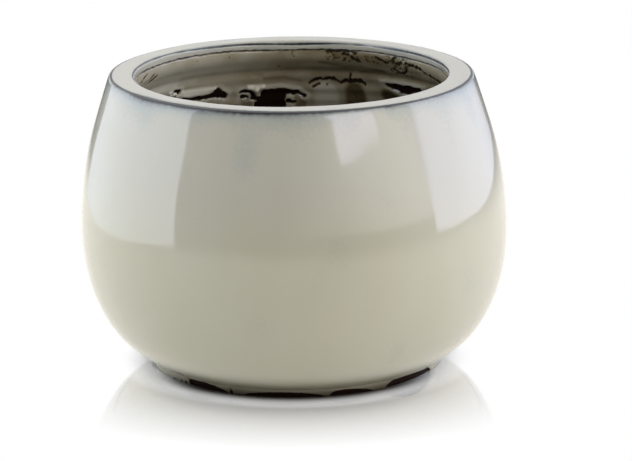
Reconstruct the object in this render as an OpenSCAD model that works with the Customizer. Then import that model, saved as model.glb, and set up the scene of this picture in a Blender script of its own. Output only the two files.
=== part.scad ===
// Round bowl planter of the kind sold for bonsai: dark stoneware under a pale glaze.
// The potter's pieces are luted together in the order foot ring, floor slab, wall, rim ring.
// Three coats of glaze lie on them, each thin where it breaks over an arris.
// Angles of features are bearings: 0 is the front (-Y), and they grow towards +X.

/* [Body] */
// Outside diameter at the belly, over the glaze
belly_d = 300; // [290:1:316]
// Height from the table to the top of the rim, over the glaze
pot_h = 207; // [203:1:213]
// Height of the widest ring of the belly
belly_z = 97; // [94:1:101]
// Radius of the arc from the belly up to the shoulder
shoulder_arc = 252; // [240:1:290]
// Height where the shoulder arc runs out straight to the rim
shoulder_z = 172; // [162:1:180]
// How far the lower curve draws in below the belly
under_w = 53.5; // [51:0.5:56]
// Height of the lower curve's full quarter ellipse
under_h = 88.5; // [87:0.5:92]
// Thickness of the clay wall
wall_t = 14; // [12:0.5:15]

/* [Rim] */
// Diameter of the mouth, over the glaze
mouth_d = 219; // [214:1:221]
// Height of the rim ring
rim_h = 8; // [6:0.5:10]
// Rounding of the rim's arrises
arris_r = 1.5; // [1:0.1:2]

/* [Foot and floor] */
// Diameter of the foot at the table
foot_d = 203; // [199:1:206]
// Width of the foot's resting face
foot_face_w = 15; // [12:0.5:17]
// Height of the foot's band under the bevel
foot_band_h = 7; // [6:0.5:8]
// How far the band draws in from its top to the table
foot_taper = 3.5; // [1:0.5:4]
// Height of the foot ring, where the wall is luted on
foot_h = 20; // [19:0.5:21]
// Thickness of the floor slab
floor_t = 13; // [11:0.5:14]
// Diameter of the floor slab
floor_d = 190; // [186:1:194]
// Diameter of the drain hole
drain_d = 25; // [16:1:32]
// Bevel round the top of the drain hole
drain_bevel = 2; // [1:0.5:3]

/* [Glaze] */
// Thickness of the glaze on the walls
glaze_t = 0.9; // [0.7:0.1:1.2]
// Thickness where the glaze breaks over an arris
break_t = 0.2; // [0.1:0.05:0.3]
// Thickness of the roll at the lower edge of the glaze inside the pot
roll_t = 1.8; // [1.4:0.1:2]
// Thickness of the runs that hang from the roll
run_t = 2.2; // [1.8:0.1:2.6]
// Height of the roll
roll_z = 175; // [171:1:177]
// Height of the points where the runs leave the roll
hem_z = 165; // [163:1:167]

/* [Hidden] */
$fn = 96;
clay_colour = "#5a3a30";
glaze_colour = "#dcddd0";

clay_r = belly_d / 2 - glaze_t;            // belly of the bare clay
clay_top = pot_h - glaze_t;                // flat top of the bare rim
rim_z = clay_top - rim_h;                  // where the rim ring sits on the wall
foot_r = foot_d / 2 - glaze_t;
mouth_r = mouth_d / 2 + glaze_t;
floor_z = foot_h - floor_t;                // underside of the floor slab
crease_w = 6;                              // length of the soft crease above the foot's bevel
ledge_w = 11;                              // what the floor slab rests on
swell_h = 8;                               // height over which the glaze inside swells to the roll
runs_low = 123;                            // height below which there are no runs

// Where the glaze stops short of its lowest height round the foot: arches of bare clay,
// as [from, to, height of the top]
low_z = 0.6;
foot_arches = [[-72, -54, 1.8], [-47, -28, 2.8], [-20, 10, 2.7], [13, 30, 3.3], [38, 67, 3.1],
               [70, 87, 3.6], [90, 112, 3], [115, 135, 3.6], [138, 160, 3], [163, 186, 3.8],
               [189, 211, 2.8], [214, 235, 3.6], [238, 259, 3], [262, 284, 3.4]];

// Runs inside the pot, as [bearing, half width of the drop, height where the drop's circle is centred]
runs = [[8, 6, 147], [23, 5, 137], [37, 7.5, 143], [52, 5.5, 131], [65, 6, 148], [79, 7, 135], [94, 5, 143],
        [107, 6.5, 132], [122, 6, 145], [136, 6.5, 153], [152, 6, 131], [170, 8.5, 141], [182, 3.5, 138],
        [192, 4.5, 157], [203, 5.5, 143], [216, 6, 153], [230, 5, 139], [244, 7, 149], [259, 7.5, 146],
        [274, 5.5, 130], [287, 6, 142], [301, 8, 136], [316, 5, 150], [328, 6, 132], [342, 7, 144],
        [356, 5, 131]];
stem_share = 0.65;                         // width of a run at its top, as a share of its drop's
root_w = 2;                                // least width of coat left between the bare arches above the hem

// ---- outlines, as [radius, height] ----

function unit(v) = v / norm(v);
function right_of(v) = [v[1], -v[0]];
function reversed(list) = [for (i = [len(list) - 1 : -1 : 0]) list[i]];
function part_of(list, from, to) = [for (i = [from : to]) list[i]];
function last_of(list) = list[len(list) - 1];

// n + 1 points of the curve that leaves a towards b and arrives at c from b
function blend(a, b, c, n) =
    [for (i = [0 : n]) let (t = i / n) (1 - t) * (1 - t) * a + 2 * t * (1 - t) * b + t * t * c];

// A path moved to its right by the distance d[i] at each of its points, with its corners mitred
function beside(path, d) = [
    for (i = [0 : len(path) - 1])
        let (before = unit(path[max(i, 1)] - path[max(i, 1) - 1]),
             after = unit(path[min(i + 1, len(path) - 1)] - path[min(i, len(path) - 2)]),
             side = right_of(unit(before + after)))
        path[i] + side * d[i] / max(0.5, side * right_of(before))
];

// The quarter ellipse below the belly, by the angle from the belly down
function under_at(a) = [clay_r - under_w * (1 - cos(a)), belly_z - under_h * sin(a)];
// The arc above the belly, by the angle from the belly up
function shoulder_at(a) = [clay_r - shoulder_arc * (1 - cos(a)), belly_z + shoulder_arc * sin(a)];

under_end = asin((belly_z - foot_h) / under_h);
shoulder_end = asin((shoulder_z - belly_z) / shoulder_arc);
// Radius of the straight shoulder at a height above shoulder_z
function straight_r(z) = shoulder_at(shoulder_end)[0] - tan(shoulder_end) * (z - shoulder_z);

joint = under_at(under_end);               // outer edge where wall and foot ring meet
crease = joint - crease_w * unit([under_w * sin(under_end), under_h * cos(under_end)]);
band_top = [foot_r + foot_taper, foot_band_h];

// Outside of the clay from the table up, in the order it is built
foot_side = concat(
    [[foot_r, low_z], band_top],
    blend(band_top + 0.55 * (crease - band_top), crease, joint, 5));
belly_side = concat(
    [for (i = [0 : 17]) under_at(under_end * (1 - i / 18))],
    [for (i = [0 : 12]) shoulder_at(shoulder_end * i / 12)],
    [[straight_r(rim_z), rim_z]]);
rim_corner = [straight_r(clay_top), clay_top];
mouth_corner = [mouth_r, clay_top];
outer_arris = blend(rim_corner - arris_r * [-tan(shoulder_end), 1], rim_corner, rim_corner - [arris_r, 0], 4);
inner_arris = blend(mouth_corner + [arris_r, 0], mouth_corner, mouth_corner - [0, arris_r], 4);
lip = [[mouth_r, rim_z + arris_r / 2], [mouth_r + arris_r / 2, rim_z]];

// Inside of the wall: its radius at a height above the belly, where it keeps wall_t from the outside
function inside_r(z) =
    let (arc = shoulder_arc - wall_t, arc_top = belly_z + arc * sin(shoulder_end))
    z < arc_top ? clay_r - shoulder_arc + sqrt(arc * arc - (z - belly_z) * (z - belly_z))
                : straight_r(z) - wall_t / cos(shoulder_end);
// and its points below the belly, by the angle from the belly down
function inside_under_at(a) =
    under_at(a) - wall_t * unit([under_h * cos(a), -under_w * sin(a)]);

// Inside of the wall from the rim ring down to the floor. It has a point wherever the glaze changes.
inner_side = concat(
    [for (z = [rim_z, roll_z + swell_h, roll_z, hem_z]) [inside_r(z), z]],
    [for (i = [1 : 4]) let (z = hem_z + (runs_low - hem_z) * i / 4) [inside_r(z), z]],
    [for (i = [1 : 2]) let (z = runs_low + (belly_z - runs_low) * i / 3) [inside_r(z), z]],
    [for (i = [0 : 12]) inside_under_at(under_end * i / 12)],
    blend(inside_under_at(under_end), [floor_d / 2 + 9, foot_h + 1], [floor_d / 2 - 3, foot_h], 5));

// ---- shapes ----

// A ring whose section is the outline
module ring(outline) {
    rotate_extrude() polygon(outline);
}

// A flat outline pushed through the wall at a bearing. Its x is measured along the wall, its y is height.
module through_wall(bearing) {
    rotate([0, 0, bearing]) translate([0, -70, 0]) rotate([90, 0, 0]) linear_extrude(100) children();
}

// ---- clay ----

module foot_ring() {
    color(clay_colour) ring(concat(
        [[foot_r - foot_face_w, 0], [foot_r - 1, 0]],
        foot_side,
        [[floor_d / 2, foot_h], [floor_d / 2, floor_z], [floor_d / 2 - ledge_w, floor_z]]));
}

module floor_slab() {
    color(clay_colour) difference() {
        translate([0, 0, floor_z]) cylinder(d = floor_d, h = floor_t);
        translate([0, 0, floor_z - 1]) cylinder(d = drain_d, h = floor_t + 2);
        translate([0, 0, foot_h - drain_bevel])
            cylinder(d1 = drain_d, d2 = drain_d + 4 * drain_bevel, h = 2 * drain_bevel);
    }
}

module wall() {
    color(clay_colour) ring(concat(belly_side, inner_side));
}

module rim_ring() {
    color(clay_colour) ring(concat([last_of(belly_side)], outer_arris, inner_arris, lip));
}

// ---- glaze ----

// A coat lies to the right of a path over the clay. It is given by its stations, each a point of the
// path and the coat's thickness there.
function stations(path, d) = [for (p = path) [p, d]];
module coat(list) {
    path = [for (s = list) s[0]];
    ring(concat(path, reversed(beside(path, [for (s = list) s[1]]))));
}

thinning = 2.6 * arris_r;                  // how far from an arris the glaze starts to thin
outer_stations = concat(
    stations(foot_side, glaze_t),
    stations(part_of(belly_side, 1, len(belly_side) - 1), glaze_t),
    [[[straight_r(clay_top - thinning), clay_top - thinning], glaze_t]],
    [[outer_arris[0], 2 * break_t]],
    stations(part_of(outer_arris, 1, 2), break_t));
rim_stations = concat(
    stations(part_of(outer_arris, 2, 3), break_t),
    [[outer_arris[4], 2 * break_t]],
    [for (p = [rim_corner - [thinning, 0], mouth_corner + [thinning, 0]]) [p, glaze_t]],
    [[inner_arris[0], 2 * break_t]],
    stations(part_of(inner_arris, 1, 3), break_t),
    [[inner_arris[4], 2 * break_t], [(inner_arris[4] + lip[0]) / 2, glaze_t]],
    [[lip[0], 2 * break_t], [lip[1], break_t]]);
inner_stations = concat(
    [[lip[1], break_t]],
    stations(part_of(inner_side, 0, 1), glaze_t),
    stations(part_of(inner_side, 2, 3), roll_t));
run_stations = concat(
    [[inner_side[1], glaze_t / 2]],
    stations(part_of(inner_side, 2, 7), run_t));

// A bare arch: a disc pushed through the wall, as wide as 2 * half at the height low and with its top at high
module bare_arch(bearing, half, low, high) {
    rise = high - low;
    disc_r = (half * half + rise * rise) / (2 * rise);
    through_wall(bearing) translate([0, high - disc_r]) circle(disc_r);
}

module outer_glaze() {
    color(glaze_colour) difference() {
        coat(outer_stations);
        for (a = foot_arches) bare_arch((a[0] + a[1]) / 2, foot_r * sin((a[1] - a[0]) / 2), low_z, a[2]);
    }
}

module rim_glaze() {
    color(glaze_colour) coat(rim_stations);
}

// A run's outline: a stem that widens into a drop
module run_outline(half, end) {
    stem = stem_share * half;
    translate([0, end]) circle(half);
    polygon([[-0.8 * half, end], [0.8 * half, end], [stem, roll_z + swell_h], [-stem, roll_z + swell_h]]);
}

// Half the angle from a run to the next one round the pot
function half_gap(i) = ((i + 1 < len(runs) ? runs[i + 1][0] : runs[0][0] + 360) - runs[i][0]) / 2;

module inner_glaze() {
    color(glaze_colour) {
        difference() {
            coat(inner_stations);
            for (i = [0 : len(runs) - 1])
                bare_arch(runs[i][0] + half_gap(i), inside_r(hem_z) * sin(half_gap(i)) - root_w / 2, hem_z,
                          roll_z - 2 + 2 * sin(130 * i));
        }
        intersection() {
            coat(run_stations);
            for (r = runs) through_wall(r[0]) run_outline(r[1], r[2]);
        }
    }
}

foot_ring();
floor_slab();
wall();
rim_ring();
outer_glaze();
rim_glaze();
inner_glaze();
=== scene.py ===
import math
import bpy
import numpy as np
from mathutils import Matrix, Vector


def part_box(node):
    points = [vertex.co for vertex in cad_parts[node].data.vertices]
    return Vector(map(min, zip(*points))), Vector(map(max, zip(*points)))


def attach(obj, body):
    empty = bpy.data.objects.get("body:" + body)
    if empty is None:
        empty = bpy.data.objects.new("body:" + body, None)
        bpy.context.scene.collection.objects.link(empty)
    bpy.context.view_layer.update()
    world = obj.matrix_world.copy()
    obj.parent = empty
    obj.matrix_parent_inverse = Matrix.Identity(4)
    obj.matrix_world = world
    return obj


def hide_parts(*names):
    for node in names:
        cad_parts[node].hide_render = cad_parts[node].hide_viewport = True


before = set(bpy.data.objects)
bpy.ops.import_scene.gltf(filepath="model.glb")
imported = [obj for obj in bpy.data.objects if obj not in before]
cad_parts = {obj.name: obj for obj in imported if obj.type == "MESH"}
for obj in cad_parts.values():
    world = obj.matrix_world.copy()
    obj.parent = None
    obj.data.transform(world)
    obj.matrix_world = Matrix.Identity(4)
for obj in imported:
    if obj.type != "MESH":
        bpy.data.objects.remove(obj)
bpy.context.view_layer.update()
print("frame loaded:", ", ".join(sorted(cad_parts)))

# Lengths are in millimetres until a mesh is made. A bearing is 0 at the front (-Y) and grows towards +X.
metre = 1000.0


def highest(node):                       # a node's highest corner, in millimetres
    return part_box(node)[1] * metre


potForm = {
    "bellyRadius": highest("wall").x,    # of the bare clay
    "bellyHeight": 97.0,
    "shoulderArc": 252.0,
    "shoulderTop": 172.0,                # where the arc runs out straight
    "underWidth": 53.5,
    "underHeight": 88.5,
    "wallThickness": 14.0,
    "wallTop": highest("wall").z,
    "rimTop": highest("rim_ring").z,
    "mouthRadius": 110.4,
    "arris": 1.5,
    "bandEdge": 200.9,                   # where the rim's thick glaze ends, inside the mouth
    "throat": 17.0,                      # height over which the mouth runs out into the wall
    "breakPast": 0.9,                    # how far past the rim's outer corner the glaze breaks
    "footTop": highest("foot_ring").z,
    "footRadius": 100.6,                 # at the table
    "footFace": 15.0,
    "footBand": 7.0,
    "footTaper": 3.5,                    # how far the band draws in from its top to the table
    "turnDepth": 0.05,                   # of the fine marks that turning leaves on it
    "turnPitch": 1.7,
    "floorRadius": highest("floor_slab").x,
    "floorUnder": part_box("floor_slab")[0].z * metre,
    "drainRadius": 12.5,
    "spiralDepth": 0.35,                 # of the spiral that throwing leaves in the floor
    "spiralPitch": 8.0,
}


# A curve that leaves a towards b and arrives at c from b: (1 - t)^2 a + 2 t (1 - t) b + t^2 c.
def bend(a, b, c, count=14):
    t = np.linspace(0, 1, count)[:, None]
    return (1 - t) ** 2 * np.array(a) + 2 * t * (1 - t) * np.array(b) + t ** 2 * np.array(c)


def unit(v):                             # a vector's direction
    return v / np.linalg.norm(v)


# 0 at low, 1 at high: 3 t^2 - 2 t^3 of the share t of the way.
def smoothStep(x, low, high):
    t = np.clip((x - low) / (high - low), 0, 1)
    return t * t * (3 - 2 * t)


# Points of a path at even steps of its arc length.
def evenSteps(path, step):
    path = np.asarray(path, float)
    gaps = np.hypot(*np.diff(path, axis=0).T)
    path = path[np.r_[True, gaps > 1e-5]]
    length = np.r_[0, np.cumsum(np.hypot(*np.diff(path, axis=0).T))]
    s = np.linspace(0, length[-1], max(3, int(round(length[-1] / step)) + 1))
    return s, np.stack([np.interp(s, length, path[:, k]) for k in (0, 1)], 1)


# An open path of (radius, height), with its outward normal: its direction turned right, and
# averaged over a short way so that a coat of glaze rounds each corner.
class Skin:
    def __init__(self, path, step=0.2, soften=1.6):
        self.s, self.points = evenSteps(path, step)
        along = np.gradient(self.points, axis=0)
        normals = np.stack([along[:, 1], -along[:, 0]], 1)
        normals /= np.linalg.norm(normals, axis=1)[:, None]
        half = int(soften / step)
        kernel = np.hanning(2 * half + 3)[1:-1]
        kernel /= kernel.sum()
        padded = np.pad(normals, ((half, half), (0, 0)), "edge")
        normals = np.stack([np.convolve(padded[:, k], kernel, "valid") for k in (0, 1)], 1)
        self.normals = normals / np.linalg.norm(normals, axis=1)[:, None]

    def at(self, s, lift=0.0):           # (radius, height) at arc length s, lifted along the normal
        values = [np.interp(s, self.s, column) for column in (*self.points.T, *self.normals.T)]
        return values[0] + lift * values[2], values[1] + lift * values[3]

    def nearest(self, point):            # arc length of the station nearest to a point
        return self.s[np.argmin(np.hypot(*(self.points - np.array(point)).T))]


# The clay's outline: up the outside as a tapered band, a bevel, a soft crease, a quarter of an ellipse,
# an arc and a straight; over the flat rim between two small arrises; down the inside, which keeps the
# wall's thickness from the outside. It also gives the places where one stretch meets the next.
def clayPath(f):
    belly, bellyZ, arc, wall = f["bellyRadius"], f["bellyHeight"], f["shoulderArc"], f["wallThickness"]
    wide, high = f["underWidth"], f["underHeight"]
    underEnd = math.asin((bellyZ - f["footTop"]) / high)
    arcEnd = math.asin((f["shoulderTop"] - bellyZ) / arc)

    def under(a):
        return np.stack([belly - wide * (1 - np.cos(a)), bellyZ - high * np.sin(a)], -1)

    def underInside(a):
        normal = np.stack([high * np.cos(a), -wide * np.sin(a)], -1)
        return under(a) - wall * normal / np.linalg.norm(normal, axis=-1, keepdims=True)

    def straight(z):
        return belly - arc * (1 - math.cos(arcEnd)) - math.tan(arcEnd) * (z - f["shoulderTop"])

    joint = under(np.array(underEnd))
    crease = joint - 6 * unit(np.array([wide * math.sin(underEnd), high * math.cos(underEnd)]))
    bandTop = np.array([f["footRadius"] + f["footTaper"], f["footBand"]])
    rimCorner = np.array([straight(f["rimTop"]), f["rimTop"]])
    mouthCorner = np.array([f["mouthRadius"], f["rimTop"]])
    r = f["arris"]
    slope = np.array([-math.tan(arcEnd), 1])

    # Under the rim the glaze fills the corner: the mouth's radius runs out in a smooth step to the wall's.
    def throat(z):
        blend = smoothStep(f["bandEdge"] - 2 - z, 0, f["throat"])
        return f["mouthRadius"] + (straight(z) - wall / math.cos(arcEnd) - f["mouthRadius"]) * blend

    throatZ = np.linspace(f["rimTop"] - r, f["bandEdge"] - 3 - f["throat"], 60)
    rising = np.linspace(0, arcEnd, 60)[:, None]
    falling = np.linspace(arcEnd, 0, 60)[:, None]
    innerArc = arc - wall
    floorEdge = [f["floorRadius"] - 3, f["footTop"]]
    path = [
        [[f["footRadius"], 0.5], bandTop],
        bend(bandTop + 0.55 * (crease - bandTop), crease, joint),
        under(np.linspace(underEnd, 0, 60)),
        np.hstack([belly - arc * (1 - np.cos(rising)), bellyZ + arc * np.sin(rising)]),
        bend(rimCorner - r * slope, rimCorner, rimCorner - [r, 0]),
        bend(mouthCorner + [r, 0], mouthCorner, mouthCorner - [0, r]),
        np.stack([throat(throatZ), throatZ], 1),
        np.hstack([belly - arc + innerArc * np.cos(falling), bellyZ + innerArc * np.sin(falling)]),
        underInside(np.linspace(0, underEnd, 50)),
        bend(underInside(np.array(underEnd)), [f["floorRadius"] + 9, f["footTop"] + 1], floorEdge),
    ]
    marks = {
        "joint": joint,
        "rimCorner": rimCorner,
        "mouthCorner": mouthCorner,
        "bandEdge": np.array([f["mouthRadius"], f["bandEdge"]]),
        "insideTop": np.array([throat(f["wallTop"]), f["wallTop"]]),
        "floorEdge": np.array(floorEdge),
    }
    return np.vstack(path), marks


path, marks = clayPath(potForm)
skin = Skin(path)
station = {name: skin.nearest(point) for name, point in marks.items()}
station["breakLine"] = station["rimCorner"] + potForm["breakPast"]
inside = skin.s > station["insideTop"]


def insideStation(z):                    # arc length where the inside of the wall is at height z
    return np.interp(-np.asarray(z, float), -skin.points[inside, 1], skin.s[inside])


# A slow wave over bearing and height: a sum of sines with whole numbers of waves round the pot.
def ripple(bearing, height, waves, pitch, seed, count=6):
    draw = np.random.default_rng(seed)
    total = 0
    for _ in range(count):
        turns = draw.integers(waves[0], waves[1] + 1)
        rise = 2 * math.pi / draw.uniform(*pitch) * draw.choice([-1, 1])
        total = total + np.sin(turns * np.radians(bearing) + rise * height + draw.uniform(0, 2 * math.pi))
    return total / math.sqrt(count)


def ringRipple(bearing, waves, seed, count=6):                   # the same over bearing alone
    return ripple(bearing, 0, waves, (50, 90), seed, count)


def turnFrom(at, bearing):               # degrees from one bearing to another, -180 to 180
    return (bearing - at + 180) % 360 - 180


# 1 at one bearing, falling to 0 over a width on both sides: e to the minus (turn / width) to a power.
def hump(bearing, at, width, power=2):
    return np.exp(-((turnFrom(at, bearing) / width) ** power))


# The finger ridges that a potter leaves: a spiral wave that climbs by one pitch at each turn.
throwing = {"pitch": 9.0, "depth": 0.22}


def throwRidges(bearing, height):
    turn = height / throwing["pitch"] + np.asarray(bearing) / 360
    slow = 1 + 0.4 * ripple(bearing, height, (1, 4), (60, 140), 5)
    return throwing["depth"] * slow * np.sin(2 * math.pi * turn)


# Thickness of a coat that ends in a bead: a quarter circle over its first width, then a swell that dies
# away as a bell curve over its reach.
def bead(distance, width, coat, swell, reach):
    edge = np.sqrt(np.clip(1 - (1 - np.clip(distance / width, 0, 1)) ** 2, 0, 1))
    return edge * (coat + swell * np.exp(-(np.maximum(distance, 0) / reach) ** 2))


lean = {"slope": -0.011, "level": 93.0}  # a thrown pot's axis leans a little, here towards -X


# Points in metres from arrays of radius, height and bearing, with the pot's slight lean.
def turned(radius, height, bearing):
    b = np.radians(bearing)
    x = radius * np.sin(b) + lean["slope"] * (height - lean["level"])
    return np.stack(np.broadcast_arrays(x, -radius * np.cos(b), height), -1) / metre


# Quads between neighbouring points of a grid that closes round the pot, and along its rows if asked.
def gridQuads(columns, rows, closedRows):
    i, j = np.meshgrid(np.arange(columns), np.arange(rows if closedRows else rows - 1), indexing="ij")
    iNext, jNext = (i + 1) % columns, (j + 1) % rows
    corners = [i * rows + j, iNext * rows + j, iNext * rows + jNext, i * rows + jNext]
    return np.stack(corners, -1).reshape(-1, 4)


# A piece in the frame from points and quads, with the glaze's depth in millimetres at each point.
def addPiece(name, points, quads, material, nodes, depth=None):
    mesh = bpy.data.meshes.new(name)
    mesh.from_pydata(points.reshape(-1, 3).tolist(), [], quads.tolist())
    mesh.polygons.foreach_set("use_smooth", np.ones(len(mesh.polygons), bool))
    if depth is not None:
        mesh.attributes.new("glazeDepth", "FLOAT", "POINT").data.foreach_set("value", depth.ravel())
    mesh.materials.append(material)
    piece = bpy.data.objects.new(name, mesh)
    bpy.context.scene.collection.objects.link(piece)
    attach(piece, "root")
    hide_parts(*nodes)
    return piece


# A socket that takes part in sums: an expression on it adds the Math nodes it needs.
class Wire:
    def __init__(self, recipe, socket):
        self.recipe, self.socket = recipe, socket

    def __add__(self, other):
        return self.recipe.maths("ADD", self, other)

    def __sub__(self, other):
        return self.recipe.maths("SUBTRACT", self, other)

    def __rsub__(self, other):
        return self.recipe.maths("SUBTRACT", other, self)

    def __mul__(self, other):
        return self.recipe.maths("MULTIPLY", self, other)

    def __truediv__(self, other):
        return self.recipe.maths("DIVIDE", self, other)

    def __rtruediv__(self, other):
        return self.recipe.maths("DIVIDE", other, self)

    def __pow__(self, other):
        return self.recipe.maths("POWER", self, other)

    def __rpow__(self, other):
        return self.recipe.maths("POWER", other, self)

    def __neg__(self):
        return self * -1

    __radd__, __rmul__ = __add__, __mul__


# A material, or another node tree, that nodes are added to.
class Recipe:
    def __init__(self, name, tree=None):
        self.material = None if tree else bpy.data.materials.new(name)
        if self.material:
            self.material.use_nodes = True
        self.tree = tree or self.material.node_tree
        self.tree.nodes.clear()

    # One node: its settings first, then the value or link of each input. Returns its outputs as wires.
    def node(self, kind, settings=None, inputs=None):
        made = self.tree.nodes.new(kind)
        for key, value in (settings or {}).items():
            if key == "stops":
                ramp = made.color_ramp
                while len(ramp.elements) < len(value):
                    ramp.elements.new(1.0)
                for element, (place, tone) in zip(ramp.elements, value):
                    element.position, element.color = place, colour(*tone)
            else:
                setattr(made, key, value)
        for key, value in (inputs or {}).items():
            if isinstance(value, Wire):
                self.tree.links.new(value.socket, made.inputs[key])
            else:
                made.inputs[key].default_value = value
        return [Wire(self, output) for output in made.outputs]

    def maths(self, operation, *values):
        return self.node("ShaderNodeMath", {"operation": operation}, dict(enumerate(values)))[0]

    def place(self):                     # the point's own place on the object
        return self.node("ShaderNodeTexCoord")[3]

    def parts(self, vector):
        return self.node("ShaderNodeSeparateXYZ", None, {0: vector})

    def noise(self, scale, detail=2.0, stretch=None, rough=0.5):
        where = self.place()
        if stretch:
            where = self.node("ShaderNodeMapping", None, {"Vector": where, "Scale": stretch})[0]
        settings = {"Vector": where, "Scale": scale, "Detail": detail, "Roughness": rough}
        return self.node("ShaderNodeTexNoise", None, settings)[0]

    def between(self, value, low, high):  # 0 at low, 1 at high, smooth
        inputs = {"Value": value, "From Min": low, "From Max": high}
        return self.node("ShaderNodeMapRange", {"interpolation_type": "SMOOTHSTEP"}, inputs)[0]

    def linear(self, value, low, high, atLow=0.0, atHigh=1.0):
        inputs = {"Value": value, "From Min": low, "From Max": high, "To Min": atLow, "To Max": atHigh}
        return self.node("ShaderNodeMapRange", None, inputs)[0]

    def mix(self, factor, a, b, blend="MIX"):
        settings = {"data_type": "RGBA", "blend_type": blend}
        return self.node("ShaderNodeMix", settings, {0: factor, 6: a, 7: b})[2]

    def ramp(self, value, stops):
        return self.node("ShaderNodeValToRGB", {"stops": stops}, {0: value})[0]

    def bump(self, height, strength, distance):
        inputs = {"Height": height, "Strength": strength, "Distance": distance}
        return self.node("ShaderNodeBump", None, inputs)[0]

    def light(self, tone, strength):
        return self.node("ShaderNodeEmission", None, {"Color": tone, "Strength": strength})[0]

    def surface(self, shader):
        self.node("ShaderNodeOutputMaterial", None, {"Surface": shader})
        return self.material

    def finish(self, settings):
        return self.surface(self.node("ShaderNodeBsdfPrincipled", None, settings)[0])


def colour(red, green, blue):
    return (red, green, blue, 1.0)


# Specks where iron in the clay has come through: small dots round the points of a loose net.
def specks(recipe, scale, size, share):
    net = recipe.node("ShaderNodeTexVoronoi", None, {"Vector": recipe.place(), "Scale": scale})
    chance = recipe.node("ShaderNodeSeparateColor", None, {"Color": net[1]})[0]
    dot = 1 - recipe.between(net[0], size * 0.4, size)
    return dot * recipe.between(chance, 1 - share, 1 - share + 0.01)


paleFinish = {
    # glaze depth as a share of the range, and its colour there: dark clay shows through a thin film
    "stops": [
        (0.00, (0.016, 0.013, 0.012)),
        (0.11, (0.023, 0.020, 0.019)),
        (0.20, (0.100, 0.103, 0.096)),
        (0.28, (0.265, 0.278, 0.235)),
        (0.35, (0.405, 0.412, 0.325)),
        (0.42, (0.518, 0.488, 0.362)),
        (0.80, (0.547, 0.510, 0.368)),
    ],
    "range": 2.0,                        # glaze depth in millimetres at the ramp's end
    "roughness": 0.05,
    "filmRoughness": 0.30,               # what the thinnest film adds to it
    "shoulder": (0.10, 0.17),            # heights in metres over which the tone turns cooler
    "shoulderTone": (0.985, 0.99, 1.09),
    "cloudTone": (0.97, 0.96, 0.93),
    "speckTone": (0.05, 0.045, 0.04),
    "foot": (0.0005, 0.0135),            # heights in metres over which the painted shade by the foot clears
    "footShadeTone": (0.055, 0.040, 0.021),
}


def makePaleGlaze():
    f = paleFinish
    r = Recipe("pale glaze over dark clay")
    depth = r.node("ShaderNodeAttribute", {"attribute_name": "glazeDepth"})[2]
    x, y, height = r.parts(r.place())
    front = r.between(-y / (x * x + y * y) ** 0.5, 0.3, 0.75)    # 1 at the front, 0 behind
    mottle = r.noise(28, 3, (1, 1, 0.45))
    body = r.ramp((depth + (r.noise(420, 2) - 0.5) * 0.12) / f["range"], f["stops"])
    body = r.mix(r.between(height, *f["shoulder"]), body, colour(*f["shoulderTone"]), "MULTIPLY")
    body = r.mix(r.between(mottle, 0.35, 0.7) * 0.5, body, colour(*f["cloudTone"]), "MULTIPLY")
    dots = specks(r, 70, 0.05, 0.05)
    body = r.mix(dots * 0.75, body, colour(*f["speckTone"]))
    # painted shade: a dark brown tone low on the pot, deepest at the front, where the belly shades the foot
    low = 1 - r.between(height + (mottle - 0.5) * 0.002, *f["foot"])
    body = r.mix(low * (front * 0.6 + 0.3), body, colour(*f["footShadeTone"]))
    peel = r.noise(260, 1) * 0.6 + r.noise(900, 1) * 0.15
    rough = r.noise(60, 2) * 0.05 + f["roughness"] + (1 - r.between(depth, 0.2, 0.5)) * f["filmRoughness"]
    bump = r.bump(peel - dots * 0.8, 0.12, 0.0004)
    return r.finish({"Base Color": body, "Roughness": rough, "Normal": bump, "IOR": 1.5})


thinFinish = {
    # glaze depth as a share of the range, and its colour there
    "stops": [
        (0.00, (0.020, 0.012, 0.010)),
        (0.08, (0.030, 0.022, 0.012)),
        (0.16, (0.082, 0.062, 0.028)),
        (0.25, (0.213, 0.170, 0.092)),
        (0.36, (0.352, 0.305, 0.200)),
        (0.50, (0.485, 0.448, 0.335)),
        (1.00, (0.660, 0.615, 0.490)),
    ],
    "range": 2.0,                        # glaze depth in millimetres at the ramp's end
}


def makeThinGlaze():
    r = Recipe("thin glaze over dark clay")
    depth = r.node("ShaderNodeAttribute", {"attribute_name": "glazeDepth"})[2]
    uneven = (r.noise(38, 4, (1, 1, 1.6)) - 0.5) * 0.22 + (r.noise(500, 3) - 0.5) * 0.12
    body = r.ramp((depth + uneven) / thinFinish["range"], thinFinish["stops"])
    rough = r.noise(70, 2) * 0.1 + 0.08
    bump = r.bump(r.noise(240, 2), 0.12, 0.0005)
    return r.finish({"Base Color": body, "Roughness": rough, "Normal": bump, "IOR": 1.5})


clayFinish = {
    "dark": (0.050, 0.022, 0.016),
    "light": (0.085, 0.036, 0.025),
    "grit": (0.13, 0.065, 0.045),
    "grog": (0.18, 0.11, 0.08),
    "paintedShade": (0.009, 0.0025, 0.0015),    # painted shade: near the glaze, away from the axis, the clay is painted almost black
    "paintedShadeFrom": (0.094, 0.099),         # distances from the axis in metres over which the painted shade sets in
}


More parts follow.
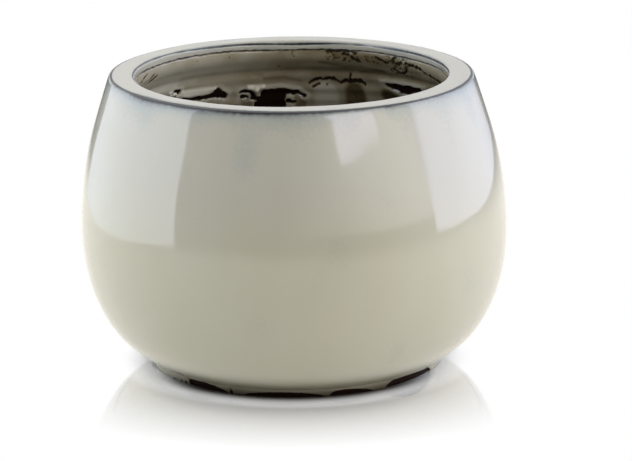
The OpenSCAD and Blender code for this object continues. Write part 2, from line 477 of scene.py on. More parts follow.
def makeBareClay():
    f = clayFinish
    r = Recipe("bare dark stoneware")
    cloud = r.noise(30, 4)
    grit = r.noise(900, 3, rough=0.7)
    x, y, _ = r.parts(r.place())
    body = r.mix(r.between(cloud, 0.3, 0.7), colour(*f["dark"]), colour(*f["light"]))
    body = r.mix(r.between(grit, 0.35, 0.75) * 0.3, body, colour(*f["grit"]))
    # painted shade: the clay under the foot's edge and inside the mouth is painted almost black
    paintedShade = r.between((x * x + y * y) ** 0.5, *f["paintedShadeFrom"])
    body = r.mix(paintedShade * 0.94, body, colour(*f["paintedShade"]))
    grog = specks(r, 260, 0.16, 0.12)
    body = r.mix(grog * (0.5 - paintedShade * 0.4), body, colour(*f["grog"]))
    bump = r.bump(grit + grog * 0.5, 0.5, 0.0005)
    return r.finish({"Base Color": body, "Roughness": cloud * 0.2 + 0.6, "Normal": bump, "IOR": 1.2})


paleGlaze, thinGlaze, bareClay = makePaleGlaze(), makeThinGlaze(), makeBareClay()
print("materials made")


footEdge = {
    "lowest": 0.6,                       # height of the glaze's low points above the table
    # bare arches between the low points: from and to bearing, rise, skew (under 1 peaks early)
    "arches": [
        (-59, -54, 1.6, 1.3), (-52.6, -50.8, 2.4, 1.0), (-49.8, -48.1, 2.6, 1.0),
        (-46.9, -28.0, 7.4, 0.5), (-26.9, -25.8, 5.8, 1.0), (-21.0, 10.4, 4.4, 1.0),
        (12.6, 30.4, 4.8, 0.6), (36.6, 66.0, 10.0, 0.75),
        (90, 112, 3.2, 0.8), (115, 135, 3.7, 1.0), (138, 160, 3.2, 1.3),
        (163, 186, 3.9, 0.8), (188, 211, 3.0, 1.0), (215, 235, 3.7, 0.7), (238, 259, 3.1, 1.2),
        (262, 284, 3.5, 0.9),
    ],
    "bead": 1.1,
}
coatForm = {
    "coat": 0.9,
    "film": 0.16,                        # where the glaze breaks over an arris
    "wave": 0.045,
    "bite": 0.05,                        # how far the glaze's back lies in the clay
    "columns": 900,
}
coatBearing = np.arange(coatForm["columns"]) * 360.0 / coatForm["columns"]


# Height of the glaze's edge over its low points: each arch is a sine, raised to a power below 1 for
# steep sides and a flat top, with its place along the arch raised to the skew.
def footEdgeHeight(bearing):
    height = np.zeros_like(bearing)
    for start, end, rise, skew in footEdge["arches"]:
        place = np.clip((bearing - start) % 360 / (end - start), 0, 1)
        arch = rise * np.sin(math.pi * place ** skew) ** 0.6
        height = np.maximum(height, np.where((turnFrom(start, bearing) > 0) & (place < 1), arch, 0))
    jag = 0.22 * ringRipple(bearing, (60, 160), 21)
    return height + np.maximum(0, jag) * smoothStep(height, 0.3, 1.5)


# Distance from each point to the glaze's edge, measured along the wall: the least over nearby columns.
def distanceToEdge(height, edge, columnGap, columns=22):
    best = np.full(height.shape, 1e9)
    for k in range(-columns, columns + 1):
        gap = height - np.roll(edge, k)[:, None]
        best = np.minimum(best, (k * columnGap) ** 2 + gap ** 2)
    return np.sqrt(best)


# Row places along a length, with a gap that a function of the place gives.
def rowPlaces(length, gapAt):
    places = [0.0]
    while places[-1] < length:
        places.append(places[-1] + gapAt(places[-1], length))
    return np.array(places) * length / places[-1]


def outerGap(d, length):                 # fine at the foot's edge and below the rim, wide over the belly
    belly = float(smoothStep(d, 11, 56)) * float(smoothStep(length - d, 2, 22))
    return 0.12 + 0.6 * min(1, d / 2.5) + 5.4 * belly - 0.4 * float(smoothStep(length - d, 10, 3))


# The line where the glaze breaks over the rim's outer arris, in millimetres along the clay.
breakForm = {
    "wallSide": 0.95,                    # its half width on the wall's coat, and on the rim's
    "rimSide": 1.2,
    "shift": 0.6,                        # how far onto the rim it lies, a little left of the front
    "tail": 0.40,                        # share by which the glaze stays thinner below it, and how far
    "tailReach": 10.0,
    "tailCut": 0.22,                     # how much less that is to the right of the front
    "fringe": 0.30,                      # a darker share close to it, and how far
    "fringeReach": 2.2,
}


# How far the glaze thins at a station, 0 to 1: 1 / (1 + (distance / half width) to the 3.2) over the
# arris, with a ragged half width, and a tail that dies away exponentially over its reach.
def arrisThinning(s, at, bearing, width, seed, tail, reach):
    ragged = 1 + 0.14 * ringRipple(bearing, (3, 30), seed) + 0.10 * ringRipple(bearing, (40, 160), seed + 1)
    away = np.abs(s - at)
    dip = 1 / (1 + (away / (width * ragged)) ** 3.2)
    return np.clip(dip + tail * np.exp(-away / reach), 0, 1)


def fineThinning(s, at, bearing, seed):  # the same along the fine lines in the mouth
    return arrisThinning(s, at, bearing, 0.55, seed, 0.3, 0.4)


# Width of the outer line as a share: widest to the left of the front, narrow at the sides and the back.
def breakWidth(bearing):
    turn = turnFrom(0, bearing)
    grown = 0.55 + smoothStep(turn, -66, -52)
    return grown - 0.55 * smoothStep(turn, -14, 8) - 0.45 * smoothStep(turn, 24, 50)


def breakShift(bearing):                 # a flat-topped hump a little left of the front
    return breakForm["shift"] * hump(bearing, -42, 26, 4)


# A coat all the way round, as a grid over bearing and arc length: its front stands off the clay by its
# depth, and its back lies a little in the clay, with fewer rows.
def addCoat(name, s, depth, every, node):
    bearing = coatBearing[:, None]
    front = turned(*skin.at(s, depth), bearing)
    behind = turned(*skin.at(s[:, ::-every], -coatForm["bite"]), bearing)
    points = np.concatenate([front, behind], 1)
    depths = np.concatenate([depth, depth[:, ::-every]], 1)
    print(name + ":", points.shape)
    quads = gridQuads(*points.shape[:2], True)
    return addPiece(name, points, quads, paleGlaze, [node], depths)


# The coat outside, from the foot's scalloped edge to the break line: a bead at the foot, a slow swing over
# the belly, thinner towards the line.
def makeOuterGlaze():
    bearing = coatBearing[:, None]
    edge = footEdgeHeight(coatBearing)
    end = station["breakLine"]
    rows = rowPlaces(end, outerGap)
    start = footEdge["lowest"] - 0.5 + edge
    s = start[:, None] + rows * (end - start)[:, None] / end
    height = skin.at(s)[1]
    distance = distanceToEdge(s, start, 2 * math.pi * potForm["footRadius"] / coatForm["columns"])
    b, share = breakForm, breakWidth(bearing)
    tail = b["tail"] - b["tailCut"] * (smoothStep(bearing, 8, 16) - smoothStep(bearing, 26, 32))
    at, width = end + breakShift(bearing), b["wallSide"] * share
    thin = arrisThinning(s, at, bearing, width, 31, tail, b["tailReach"])
    thin = np.clip(thin + b["fringe"] * share * np.exp((s - end) / b["fringeReach"]), 0, 1)
    swing = ripple(bearing, height, (4, 22), (55, 150), 11, 9) * smoothStep(distance, 2, 20)
    whole = bead(distance, footEdge["bead"], coatForm["coat"], 0.5, 4.0) + coatForm["wave"] * swing
    depth = whole * (1 - thin) + coatForm["film"] * thin
    return addCoat("outerGlazeCoat", s, depth, 4, "outer_glaze")


# Arc length at which the rim's coat ends and the inside's begins: a slightly ragged line inside the mouth.
def bandStation(bearing):
    ragged = 0.25 * ringRipple(bearing, (3, 14), 43) + 0.16 * ringRipple(bearing, (40, 150), 44)
    return station["bandEdge"] + 1.2 * hump(bearing, 180, 14) + ragged


# How broken the glaze is along that line: 0 where it's whole, 1 where clay shows.
def bandBreak(bearing):
    return 0.74 + 0.26 * smoothStep(ringRipple(bearing, (10, 120), 45, 12), -0.6, 0.8)


# The same for the mouth's arris, where the glaze is almost whole right of the back and at the left.
def mouthBreak(bearing):
    uneven = smoothStep(ringRipple(bearing, (8, 60), 46, 12), -0.2, 1.2)
    return 0.96 - 0.36 * hump(bearing, 154, 13, 4) - 0.22 * hump(bearing, 236, 24, 4) - 0.12 * uneven


def mouthShift(bearing):                 # its line dips at the back and rises at the left
    return 0.7 + 1.2 * hump(bearing, 180, 14) - 0.9 * smoothStep(bearing, 205, 232)


def rimGap(d, length):                   # fine at both ends and over the mouth's arris
    corner = min(abs(d), abs(length - d), abs(d - (station["mouthCorner"] - station["breakLine"])))
    return 0.16 + 0.8 * float(smoothStep(corner, 1.5, 6))


# The rim's coat, from the break line over the mouth's arris to the ragged line inside. It is thinner along
# all three, with a slow wave between.
def makeRimGlaze():
    bearing = coatBearing[:, None]
    start, last = station["breakLine"], station["bandEdge"]
    end = bandStation(bearing)
    rows = rowPlaces(last - start, rimGap)[None, :]
    mouth = station["mouthCorner"] - start
    stretched = mouth + (rows - mouth) * (end - start - mouth) / (last - start - mouth)
    s = start + np.where(rows < mouth, rows, stretched)
    width = breakForm["rimSide"] * breakWidth(bearing)
    outerThin = arrisThinning(s, start + breakShift(bearing), bearing, width, 31, 0.3, 0.4)
    mouthLine = station["mouthCorner"] + mouthShift(bearing)
    mouthThin = fineThinning(s, mouthLine, bearing, 41) * mouthBreak(bearing)
    edgeThin = fineThinning(s, end, bearing, 51) * bandBreak(bearing)
    thin = np.clip(outerThin + mouthThin + edgeThin, 0, 1)
    wave = 0.06 * ripple(bearing, s, (5, 24), (12, 60), 12, 8)
    depth = (coatForm["coat"] + wave) * (1 - thin) + coatForm["film"] * thin
    return addCoat("rimGlazeCoat", s, depth, 3, "rim_glaze")


# Strokes on the inside are chains of (bearing, height, half width in millimetres).
innerFlow = {
    "lowest": 121.0,                     # height below which there is no glaze
    "hem": 171.0,                        # mean height of the curtain's edge
    "root": 177.0,                       # height at which the runs leave it
    "sag": (24.0, 118, 136, 226, 244),   # how much lower it hangs, and where that grows and ends
    "coat": 0.80,
    "bite": 0.6,                         # how far the glaze's back lies in the clay
    "skirt": 0.25,                       # how deep in the clay the front ends, past each edge
    "roll": 0.5,                         # what the roll adds at the edge
    "film": 0.30,                        # depth of the thin film between some runs
    "pitSize": (0.2, 0.7),
    "radius": 129.0,                     # of the wall, for widths across it
    "fine": (112, 250, 0.33),            # bearings with fine columns, and their step
    "coarse": 1.5,
    # runs: bearing, half width at the top and at the drop, height of the drop's centre, slant in degrees
    "runs": [
        (8, 4.0, 6, 147, 1), (23, 3.2, 5, 137, 0), (37, 5.0, 7.5, 143, 1), (52, 3.6, 5.5, 131, 0),
        (65, 3.9, 6, 148, -1), (79, 4.6, 7, 135, 0), (94, 3.3, 5, 143, 0), (107, 4.2, 6.5, 132, 1),
        (122, 3.9, 6, 145, 0), (135, 4.2, 6.5, 153, 0), (151, 4.4, 6, 131, 0.5),
        (168.6, 12.5, 13.5, 141, 0.3), (178.8, 4.6, 5.0, 138, 0.3), (192.4, 4.6, 1.8, 164.6, 0),
        (200, 4.4, 5.5, 143, 0.5), (209.5, 11.0, 12.0, 150, 0), (230, 3.3, 5, 139, 0),
        (244, 4.6, 7, 149, 0), (259, 5.0, 7.5, 146, -1), (274, 3.6, 5.5, 130, 0), (287, 3.9, 6, 142, 1),
        (301, 5.2, 8, 136, 0), (316, 3.3, 5, 150, 0), (328, 3.9, 6, 132, -1), (342, 4.6, 7, 144, 0),
        (356, 3.3, 5, 131, 1),
    ],
    "films": [
        [(96.0, 168, 9.0), (96.5, 156, 9.0)],
        [(286.0, 168, 12.0), (284.0, 154, 12.0)],
    ],
    "bare": [
        [(203.7, 165.9, 2.5), (206.2, 169.2, 2.9)],
        [(205.6, 167.0, 2.6), (209.0, 166.4, 1.9), (214.8, 165.8, 1.5), (221.6, 167.4, 1.0)],
        [(226.0, 173.8, 1.2), (224.4, 175.0, 1.1), (222.2, 174.4, 1.2), (222.8, 172.6, 1.1)],
        [(197.9, 167.5, 1.1), (194.3, 167.3, 0.9), (192.9, 163.4, 1.2)],
        [(196.9, 163.4, 1.5), (195.3, 162.9, 1.3)],
        [(193.6, 161.4, 1.1), (190.0, 160.8, 2.2)],
        [(192.4, 158.0, 1.2), (190.6, 154.0, 4.4)],
        [(188.4, 162.8, 5.4), (184.4, 163.5, 5.2)],
        [(189.0, 155.0, 7.0), (185.2, 155.0, 7.0)],
        [(183.4, 166.2, 2.4), (178.6, 165.6, 1.6), (176.1, 162.6, 1.3)],
        [(181.4, 158.6, 1.8), (179.3, 158.0, 0.9)],
        [(145.4, 175.8, 1.3), (138.0, 173.5, 3.7), (130.4, 175.8, 1.6)],
    ],
    # fine dark strokes, where the glaze is almost gone
    "strokes": [
        [(173.9, 173.4, 0.9), (171.0, 176.4, 1.1), (165.5, 177.4, 1.2), (163.8, 175.0, 0.9)],
        [(172.5, 170.4, 1.1), (170.8, 172.4, 0.8)],
        [(168.0, 172.5, 0.8), (167.8, 172.8, 0.8)],
        [(162.8, 173.8, 1.1), (160.9, 175.8, 1.5), (155.6, 176.6, 1.7), (154.3, 174.6, 1.2)],
        [(159.0, 182.0, 0.5), (159.3, 178.0, 1.0)],
        [(249.3, 197.3, 0.9), (253.3, 194.5, 0.8)],
        [(242.4, 195.5, 0.7), (247.9, 190.0, 0.9)],
        [(240.3, 193.2, 1.4), (243.8, 189.8, 1.5)],
        [(166.2, 199.4, 0.8), (161.2, 200.2, 0.9), (156.3, 200.2, 1.0), (154.8, 198.6, 0.9)],
        [(160.4, 198.2, 0.6), (158.0, 197.6, 0.8)],
        [(157.3, 196.6, 0.6), (153.7, 193.4, 1.1)],
        [(146.6, 197.9, 0.8), (141.7, 194.4, 1.0)],
        [(136.6, 200.8, 0.6), (138.8, 197.0, 0.9), (136.9, 194.6, 0.7), (133.6, 196.8, 0.8)],
        [(131.8, 196.5, 0.9), (126.5, 195.8, 1.3), (123.5, 195.4, 1.0), (120.5, 192.2, 0.8)],
        [(120.5, 192.2, 0.8), (116.0, 190.9, 1.1), (111.6, 189.5, 1.5)],
        [(139.4, 190.6, 0.9), (137.0, 187.6, 0.8), (133.6, 189.0, 0.9), (132.2, 193.2, 0.9)],
    ],
    # soft fold places where the glaze is thinner, the first of them painted shade that darkens the far and
    # right
    # inner wall: the share of the glaze that is left, and how soft the fold's edge is
    "foldsAndPaintedShade": [
        (0.76, 9.0, [(186.0, 186.0, 2.0), (168.0, 184.0, 9.0), (116.0, 184.0, 9.0)]),
        (0.62, 3.5, [(163.0, 196.5, 3.0), (146.0, 196.0, 4.0), (136.0, 195.0, 3.0)]),
        (0.72, 3.0, [(184.0, 199.0, 2.0), (160.0, 199.0, 2.0)]),
        (0.75, 5.0, [(214.0, 180.5, 2.0), (196.0, 181.0, 2.0)]),
        (0.85, 4.0, [(160.0, 160.0, 9.0), (140.0, 162.0, 12.0)]),
        (0.46, 2.6, [(158.2, 167.0, 8.0), (157.8, 152.0, 9.5)]),
        (0.40, 2.6, [(146.0, 167.0, 5.0), (140.5, 158.0, 9.0)]),
        (0.62, 1.8, [(196.6, 162.0, 3.4), (194.6, 154.0, 4.6)]),
        (0.55, 1.6, [(178.6, 161.0, 2.2), (177.4, 156.0, 4.5)]),
        (0.80, 2.0, [(215.0, 162.0, 2.4), (206.0, 160.0, 2.4)]),
        (0.60, 2.2, [(169.7, 190.6, 0.5), (160.6, 187.6, 0.9), (152.9, 187.9, 1.1), (144.8, 186.6, 0.7)]),
        (0.65, 2.6, [(155.2, 183.6, 0.7), (138.4, 185.0, 1.2), (125.7, 185.3, 1.0), (115.9, 186.2, 0.8)]),
        (0.65, 2.0, [(189.6, 176.8, 1.0), (183.0, 177.6, 1.2), (177.0, 174.6, 0.9)]),
        (0.75, 2.0, [(194.2, 181.6, 0.8), (190.5, 180.0, 1.0)]),
        (0.55, 1.0, [(184.8, 187.4, 0.6), (184.5, 187.3, 0.6)]),
    ],
    # thick places, the first of them painted light that brightens the left inner wall: what they add in
    # millimetres, and how soft their edge is
    "swells": [
        (0.30, 12.0, [(262.0, 190.0, 8.0), (200.0, 186.0, 5.0)]),
        (1.40, 1.6, [(227.0, 174.4, 1.0), (219.5, 171.2, 2.6), (210.5, 171.2, 2.4), (207.4, 172.6, 0.8)]),
        (1.60, 1.4, [(195.2, 170.6, 1.0), (192.4, 169.4, 2.2), (189.9, 170.8, 1.0)]),
        (1.80, 0.8, [(192.4, 168.5, 2.0), (192.3, 165.6, 1.0)]),
        (0.50, 3.5, [(168.5, 166.0, 8.0), (168.5, 150.0, 9.0)]),
        (0.60, 5.0, [(236.0, 176.0, 4.0), (226.0, 181.0, 4.0)]),
        (0.45, 1.6, [(190.4, 170.2, 1.0), (184.1, 171.4, 1.2), (177.3, 168.2, 1.1), (175.0, 163.4, 1.0)]),
        (0.40, 1.8, [(147.8, 178.4, 1.0), (139.1, 178.9, 1.1), (127.0, 178.9, 1.0)]),
    ],
    # fields of small pits: bearings, heights, how many
    "pits": [((154, 167), (192.5, 200.5), 46), ((131, 142), (186, 201), 70), ((146, 151), (192, 199), 10),
             ((176, 230), (193, 200.5), 5)],
}


def acrossWall(at, bearing):             # millimetres along the wall from one bearing to another
    return np.radians(turnFrom(at, bearing)) * innerFlow["radius"]


# Largest of two fields with their meeting rounded: k log(exp(a / k) + exp(b / k)).
def roundedMax(a, b, k):
    return k * np.logaddexp(a / k, b / k)


# Distance outside a stroke, negative within it: the least over its tapered capsules, one from each point
# to the next.
def outsideStroke(bearing, height, stroke):
    best = 1e9
    for (fromBearing, low, narrow), (toBearing, high, wide) in zip(stroke, stroke[1:]):
        x, z = acrossWall(fromBearing, bearing), height - low
        across, up = acrossWall(fromBearing, toBearing), high - low
        t = np.clip((x * across + z * up) / (across ** 2 + up ** 2), 0, 1)
        best = np.minimum(best, np.hypot(x - t * across, z - t * up) - narrow - t * (wide - narrow))
    return best


# How far inside the glaze a point is, in millimetres along the wall, negative on bare clay: the curtain
# above its wavy hem, joined with a widening run for each drop, less the bare strokes. Then the same for
# the films.
def glazeField(bearing, height):
    sag, *turns = innerFlow["sag"]
    lowered = sag * smoothStep(bearing, *turns[:2]) * (1 - smoothStep(bearing, *turns[2:]))
    wavy = 1.4 * ringRipple(bearing, (5, 16), 61) + 0.5 * ringRipple(bearing, (24, 60), 62)
    field = height - (innerFlow["hem"] - lowered + wavy)
    for at, top, drop, end, slant in innerFlow["runs"]:
        t = np.clip((innerFlow["root"] - height) / (innerFlow["root"] - end), 0, 1)
        wide = top + (drop - top) * t ** 3
        across = acrossWall(at, bearing) - acrossWall(0, slant) * t
        field = roundedMax(field, wide - np.hypot(across, np.maximum(0, end - height)), 1.1)
    film = -np.min([outsideStroke(bearing, height, stroke) for stroke in innerFlow["films"]], axis=0)
    bare = np.min([outsideStroke(bearing, height, stroke) for stroke in innerFlow["bare"]], axis=0)
    bare = bare + 0.35 * ripple(bearing, height, (40, 160), (5, 16), 63, 8)
    return -roundedMax(-field, -bare, 0.3), -roundedMax(-film, -bare, 0.3)


# Depth of the inside's glaze, negative on bare clay: a bead at each edge, the film, then the soft fold
# places with their painted shade, the thick places with their painted light, and the strokes and pits in
# turn.
def innerDepth(bearing, height):
    field, film = glazeField(bearing, height)
    flow = bead(field, 1.3, innerFlow["coat"], innerFlow["roll"], 2.6)
    flow = flow + 0.05 * ripple(bearing, height, (10, 40), (14, 50), 71, 8) * smoothStep(field, 1, 6)
    depth = np.where(field > 0, flow, -0.45 * (1 - np.exp(np.minimum(field, 0) / 0.7)))
    depth = np.maximum(depth, np.where(film > 0, innerFlow["film"] * smoothStep(film, -0.2, 1.2), depth))
    # thinner glaze in each fold; the first one is painted shade on the far and right inner wall
    for share, soft, stroke in innerFlow["foldsAndPaintedShade"]:
        within = smoothStep(-outsideStroke(bearing, height, stroke), -soft, soft)
        depth = depth * (1 - (1 - share) * within)
    # thicker glaze at each place; the first one is painted light on the left inner wall
    for more, soft, stroke in innerFlow["swells"]:
        within = smoothStep(-outsideStroke(bearing, height, stroke), -soft, soft)
        depth = depth + more * within * (depth > 0)
    draw = np.random.default_rng(81)
    dark = np.min([outsideStroke(bearing, height, stroke) for stroke in innerFlow["strokes"]], axis=0)
    dark = dark + 0.45 * ripple(bearing, height, (60, 260), (2.5, 9), 64, 9)
    for bearings, heights, count in innerFlow["pits"]:
        drawn = [draw.uniform(*limits, count) for limits in (bearings, heights, innerFlow["pitSize"])]
        for at, z, wide in zip(*drawn):
            dark = np.minimum(dark, np.hypot(acrossWall(at, bearing), height - z) - wide)
    cut = smoothStep(-dark, -0.6, 0.5)
    return np.where(depth > 0, depth * (1 - 0.85 * cut), depth)


def innerGap(d, length):                 # wider below the part that is seen from outside
    return 0.5 + 0.25 * float(smoothStep(d, 8, 14)) + 1.0 * float(smoothStep(d, 46, 60))


# Walls that close a coat round its kept cells, from each open edge of its front to the same edge of its
# back: upright ones where two neighbouring columns differ, level ones where two neighbouring rows do.
def edgeWalls(kept):
    columns, rows = kept.shape[0], kept.shape[1] + 1
    index = np.arange(columns * rows).reshape(columns, rows)
    back = columns * rows

    def walls(a, b, opens):              # opens: the glaze lies after the edge, not before it
        return np.where(opens[:, None], np.stack([a, b, b + back, a + back], 1),
                        np.stack([b, a, a + back, b + back], 1))

    i, j = np.nonzero(kept != np.roll(kept, 1, 0))
    upright = walls(index[i, j], index[i, j + 1], kept[i, j])
    framed = np.pad(kept, ((0, 0), (1, 1)))
    i, j = np.nonzero(framed[:, 1:] != framed[:, :-1])
    level = walls(np.roll(index, -1, 0)[i, j], index[i, j], framed[i, j + 1])
    return upright, level


# The coat inside, from the rim's coat down to its lowest height: front and back are grids too and follow
# the throwing ridges. Cells on bare clay are left out, and walls close the coat round them.
def makeInnerGlaze():
    low, high, step = innerFlow["fine"]
    bearing = np.r_[np.arange(low, high, step), np.arange(high, low + 360, innerFlow["coarse"])][:, None]
    start, end = bandStation(bearing), insideStation(innerFlow["lowest"])
    rows = rowPlaces(end - station["bandEdge"], innerGap)[None, :]
    s = start + rows * (end - start) / (end - station["bandEdge"])
    height = skin.at(s)[1]
    thin = fineThinning(s, start, bearing, 51) * bandBreak(bearing)
    depth = innerDepth(bearing, height) * (1 - thin) + coatForm["film"] * thin
    ridges = throwRidges(bearing, height) * smoothStep(s, start + 8, start + 16)
    front = turned(*skin.at(s, depth + ridges), bearing)
    behind = turned(*skin.at(s, ridges - innerFlow["bite"]), bearing)
    columns, rows = depth.shape
    lid = gridQuads(columns, rows, False)
    kept = (depth.ravel()[lid] > -innerFlow["skirt"]).any(1).reshape(columns, rows - 1)
    lid = lid[kept.ravel()]
    quads = np.concatenate([lid, lid[:, ::-1] + columns * rows, *edgeWalls(kept)])
    points = np.concatenate([front.reshape(-1, 3), behind.reshape(-1, 3)])
    depths = np.concatenate([depth.ravel(), depth.ravel()])
    used, quads = np.unique(quads, return_inverse=True)
    quads = quads.reshape(-1, 4)
    print("inner glaze:", len(used), "points,", len(quads), "quads")
    return addPiece("innerGlazeCoat", points[used], quads, thinGlaze, ["inner_glaze"],
                    depths[used])


# A closed outline turned into a ring, with a relief that pushes each point along the outline's own normal:
# the direction from the point before to the point after, turned right.
def turnedRing(name, stretches, relief, columns, nodes):
    points = np.vstack(stretches)
    points = points[np.hypot(*(points - np.roll(points, 1, 0)).T) > 1e-3]
    along = np.roll(points, -1, 0) - np.roll(points, 1, 0)
    normal = np.stack([along[:, 1], -along[:, 0]], 1)
    normal /= np.linalg.norm(normal, axis=1)[:, None]
    bearing = (np.arange(columns) * 360.0 / columns)[:, None]
    lift = relief(bearing, *points.T[:, None, :], *normal.T[:, None, :])
    xyz = turned(points[:, 0] + lift * normal[:, 0], points[:, 1] + lift * normal[:, 1], bearing)
    print(name + ":", xyz.shape)
    return addPiece(name, xyz, gridQuads(*xyz.shape[:2], True), bareClay, nodes)


def line(start, end, step):              # points from start to end
    start, end = np.array(start, float), np.array(end, float)
    count = max(2, int(round(np.linalg.norm(end - start) / step)) + 1)
    return start + (end - start) * np.linspace(0, 1, count)[:, None]


def skinStretch(start, end, step):       # points of the clay's skin between two arc lengths
    return np.stack(skin.at(np.linspace(start, end, max(2, int((end - start) / step)))), 1)


# The four pieces of clay. Each is a closed outline of stretches that follow one another, and its relief
# gives throwing ridges or turning marks where they show.
def makeClay():
    f = potForm
    outTop = skin.nearest([marks["rimCorner"][0] + 2.6, f["wallTop"]])
    wallOut = skinStretch(station["joint"], outTop, 6.0)
    wallIn = skinStretch(station["insideTop"], station["floorEdge"], 1.5)

    def wallRelief(bearing, radius, height, across, up):
        facing = smoothStep(-across, 0.0, 0.4) * smoothStep(height, f["footTop"] + 1, f["footTop"] + 9)
        return throwRidges(bearing, height) * facing * smoothStep(f["wallTop"] - height, 0, 8)

    wall = [wallOut, line(wallOut[-1], wallIn[0], 2.0), wallIn, line(wallIn[-1], wallOut[0], 3.0)]
    turnedRing("thrownWall", wall, wallRelief, 480, ["wall"])

    def noRelief(bearing, radius, height, across, up):
        return 0 * bearing * radius

    rim = skinStretch(outTop, station["insideTop"], 0.6)
    turnedRing("rimCollar", [rim, line(rim[-1], rim[0], 2.0)], noRelief, 360, ["rim_ring"])

    face = f["footRadius"] - f["footFace"]
    footIn = [f["floorRadius"] - 11, f["floorUnder"]]
    foot = [
        line([face + 1, 0], [f["footRadius"] - 2, 0], 0.8),
        bend([f["footRadius"] - 1.2, 0], [f["footRadius"] - 0.2, 0], [f["footRadius"] + 0.3, 1.1], 6),
        skinStretch(1.0, station["joint"], 0.9),
        line(marks["joint"], [f["floorRadius"], f["footTop"]], 3.0),
        line([f["floorRadius"], f["footTop"] - 0.5], [f["floorRadius"], f["floorUnder"]], 3.0),
        line([f["floorRadius"] - 0.5, f["floorUnder"]], footIn, 1.5),
        line([footIn[0] + 0.3, footIn[1] - 0.5], [face - 0.2, 1], 0.8),
        bend([face - 0.2, 1], [face, 0], [face + 1, 0], 4),
    ]

    def footRelief(bearing, radius, height, across, up):
        turning = np.sin(2 * math.pi * (radius + height) / f["turnPitch"] + np.radians(bearing))
        shown = (radius < f["footRadius"] + 2) * (height < f["floorUnder"])
        return f["turnDepth"] * turning * smoothStep(height, 0.2, 1.0) * shown

    turnedRing("turnedFoot", foot, footRelief, 600, ["foot_ring"])

    hole, under, top = f["drainRadius"], f["floorUnder"], f["footTop"]
    floor = [
        line([hole, top - 2.5], [hole, under + 1.5], 1.5),
        bend([hole, under + 1.5], [hole, under], [hole + 1.5, under], 6),
        line([hole + 1.5, under], [f["floorRadius"], under], 2.0),
        line([f["floorRadius"], under + 0.5], [f["floorRadius"], top - 0.5], 4.0),
        line([f["floorRadius"], top], [hole + 2.5, top], 1.2),
        bend([hole + 2.5, top], [hole, top], [hole, top - 2.5], 8),
    ]

    def floorRelief(bearing, radius, height, across, up):
        spiral = 0.5 + 0.5 * np.sin(2 * math.pi * (radius / f["spiralPitch"] - bearing / 360))
        fade = smoothStep(radius, hole + 3, hole + 14) * smoothStep(f["floorRadius"] - radius, 2, 12)
        return -f["spiralDepth"] * smoothStep(up, 0.5, 0.9) * fade * spiral

    turnedRing("thrownFloor", floor, floorRelief, 480, ["floor_slab"])


makeOuterGlaze()
makeRimGlaze()
makeInnerGlaze()
makeClay()
print("pieces made")


studio = {
    # broad glows of the room: where they lie (x, y, z), how narrow they are, their light
    "glows": [
        ((0.84, -0.44, 0.34), 3.0, (2.03, 2.02, 1.90)),
        ((0.00, 0.95, 0.30), 1.5, (0.50, 0.50, 0.50)),
    ],
    "backdrop": (1.0, 1.0, 1.0),         # what gloss shows of the white paper behind the pot
    "table": (1.14, 1.09, 1.02),         # and of the table near the pot
    "tableEnd": (0.60, 1.20),            # distances over which the table ends
    "gloss": 0.66,                       # the floor's share of gloss by the pot
    "floorFade": (0.130, 0.216),         # distances from the pot's axis over which the gloss fades out
    "dull": (0.103, 0.132),              # distances over which it grows to that share
    "contact": (0.102, 0.126),           # and over which the floor's own shade clears to white
    "darkest": (0.099, 0.118),           # distances over which the shadow under the foot's edge clears
    "shadow": (0.060, 0.050, 0.030),
    "floorColour": (0.80, 0.80, 0.78),
    "floorRoughness": 0.04,
    "floorReach": 4.0,
}


# Two masks of the light's path: 1 for a ray that the camera sent, also through glass; 1 for one that
# gloss sent.
def lightPaths(recipe):
    path = {wire.socket.name: wire for wire in recipe.node("ShaderNodeLightPath")}
    direct = recipe.maths("MAXIMUM", path["Is Camera Ray"], path["Is Transmission Ray"])
    return direct, path["Is Glossy Ray"]


# White paper that mirrors the pot, less and less with the distance from it, under a soft dark shade close
# to the foot.
def makeFloor():
    mesh = bpy.data.meshes.new("studioFloor")
    reach = studio["floorReach"]
    corners = [(-reach, -reach, 0), (reach, -reach, 0), (reach, reach, 0), (-reach, reach, 0)]
    mesh.from_pydata(corners, [], [(0, 1, 2, 3)])
    floor = bpy.data.objects.new("studioFloor", mesh)
    bpy.context.scene.collection.objects.link(floor)
    r = Recipe("glossy white floor")
    x, y, _ = r.parts(r.place())
    away = (x * x + y * y) ** 0.5
    direct, glossy = lightPaths(r)
    front = r.between(-y / away, 0.35, 0.8)                      # the shadow is deepest in front
    shadow = (1 - r.between(away, *studio["darkest"])) * front
    paper = r.mix(shadow, colour(*studio["floorColour"]), colour(*studio["shadow"]))
    plain = r.node("ShaderNodeBsdfDiffuse", None, {"Color": paper})[0]
    reflected = r.mix(r.between(away, *studio["tableEnd"]), colour(*studio["table"]), colour(0, 0, 0))
    white = r.light(r.mix(direct, reflected, colour(1, 1, 1)), 1.0)
    cleared = r.between(away, *studio["contact"]) * (direct + glossy)
    matt = r.node("ShaderNodeMixShader", None, {0: cleared, 1: plain, 2: white})[0]
    mirror = {"Color": colour(1, 1, 1), "Roughness": studio["floorRoughness"]}
    gloss = r.node("ShaderNodeBsdfGlossy", None, mirror)[0]
    share = (1 - r.linear(away, *studio["floorFade"])) * (r.between(away, *studio["dull"]) * 0.7 + 0.3)
    mixed = r.node("ShaderNodeMixShader", None, {0: share * studio["gloss"] * direct, 1: matt, 2: gloss})[0]
    mesh.materials.append(r.surface(mixed))


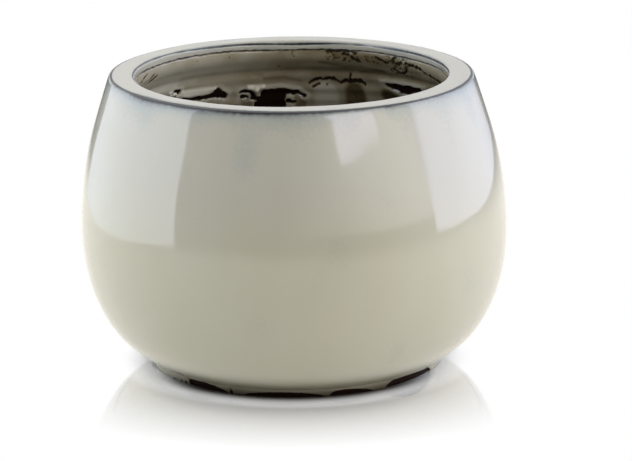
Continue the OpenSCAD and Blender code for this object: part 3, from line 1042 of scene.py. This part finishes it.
# Panels of light: bearing and distance of the upright plane each lies in, its corners in that plane as
# (across, up), its strength from one place across to another, a soft edge, its tint.
panels = {
    "leftBox": {
        "bearing": -110, "distance": 0.60,
        "corners": [(-0.35, 0.005), (0.67, 0.005), (0.73, 1.20), (-0.35, 1.20)],
        "from": (0.70, 3.6), "to": (-0.80, 0.0), "edge": (0.80, 0.75), "tint": (0.94, 1.0, 1.13),
    },
    "rightBox": {
        "bearing": 110, "distance": 1.00,
        "corners": [(-0.64, 0.01), (0.90, 0.01), (0.90, 1.30), (-0.92, 1.30)],
        "from": (-0.70, 3.5), "to": (0.80, 0.65), "edge": (-0.80, -0.60), "tint": (0.94, 1.0, 1.28),
    },
    "highBox": {
        "bearing": 40, "distance": 1.30,
        "corners": [
            (-0.280, 0.608), (-0.215, 0.612), (-0.055, 0.604), (0.063, 0.600), (0.153, 0.596),
            (0.235, 0.595), (0.267, 0.612), (0.240, 0.634), (0.197, 0.665), (0.200, 0.860), (-0.53, 0.860),
            (-0.455, 0.785), (-0.400, 0.742), (-0.366, 0.700), (-0.364, 0.672), (-0.322, 0.648),
            (-0.330, 0.634),
        ],
        "from": (-0.3, 5.3), "to": (0.3, 4.6), "edge": (-0.80, -0.70), "tint": (1.02, 1.0, 1.16),
    },
}


# One panel as a flat face that only lights: its strength runs evenly across it, times the soft edge.
def makePanel(name, panel):
    turn = math.radians(panel["bearing"])
    out = Vector((math.sin(turn), -math.cos(turn), 0))
    side = Vector((math.cos(turn), math.sin(turn), 0))
    mesh = bpy.data.meshes.new(name)
    mesh.from_pydata([(x, z, 0) for x, z in panel["corners"]], [], [range(len(panel["corners"]))])
    lamp = bpy.data.objects.new(name, mesh)
    facing = Matrix((side, (0, 0, 1), -out)).transposed().to_4x4()
    lamp.matrix_world = Matrix.Translation(out * panel["distance"]) @ facing
    bpy.context.scene.collection.objects.link(lamp)
    r = Recipe(name + " light")
    x = r.parts(r.place())[0]
    (start, first), (end, last) = panel["from"], panel["to"]
    strength = r.linear(x, start, end, first, last) * r.between(x, *panel["edge"])
    mesh.materials.append(r.surface(r.light(colour(*panel["tint"]), strength)))
    lamp.visible_camera = False


# The room: dark but for each glow's light times the cosine to its middle raised to its sharpness; gloss
# also shows white paper behind the pot, and the camera sees nothing but white.
def makeWorld():
    world = bpy.data.worlds.new("studio")
    bpy.context.scene.world = world
    world.use_nodes = True
    r = Recipe("studio", world.node_tree)
    direction = r.node("ShaderNodeTexCoord")[0]
    direct, glossy = lightPaths(r)
    light = colour(0, 0, 0)
    for towards, sharpness, tint in studio["glows"]:
        middle = Vector(towards).normalized()
        cosine = r.node("ShaderNodeVectorMath", {"operation": "DOT_PRODUCT"}, {0: direction, 1: middle})[1]
        light = r.mix(r.maths("MAXIMUM", cosine, 0.0) ** sharpness, light, colour(*tint), "ADD")
    behind = r.between(r.parts(direction)[1], -0.1, 0.3) * glossy
    light = r.mix(behind, light, colour(*studio["backdrop"]))
    light = r.mix(direct, light, colour(1, 1, 1))
    shade = r.node("ShaderNodeBackground", None, {"Color": light, "Strength": 1.0})[0]
    r.node("ShaderNodeOutputWorld", None, {"Surface": shade})


cameraView = {
    "lens": 224.7,
    "back": 2.7,                         # metres in front of the pot's axis
    "up": 0.7843,
    "pitch": 14.373,
    "yaw": -0.321,                       # the pot stands a little left of the middle
    "roll": -0.479,
}


def makeCamera():
    data = bpy.data.cameras.new("camera")
    data.lens = cameraView["lens"]
    data.sensor_width = 36
    data.clip_end = 50
    camera = bpy.data.objects.new("camera", data)
    bpy.context.scene.collection.objects.link(camera)
    steps = ((cameraView["yaw"], "Z"), (90 - cameraView["pitch"], "X"), (cameraView["roll"], "Z"))
    placed = Matrix.Translation((0, -cameraView["back"], cameraView["up"]))
    for angle, axis in steps:
        placed = placed @ Matrix.Rotation(math.radians(angle), 4, axis)
    camera.matrix_world = placed
    bpy.context.scene.camera = camera


makeFloor()
for name, panel in panels.items():
    makePanel(name, panel)
makeWorld()
makeCamera()
bpy.context.scene.view_settings.view_transform = "Standard"
print("stage, lamps and camera made")
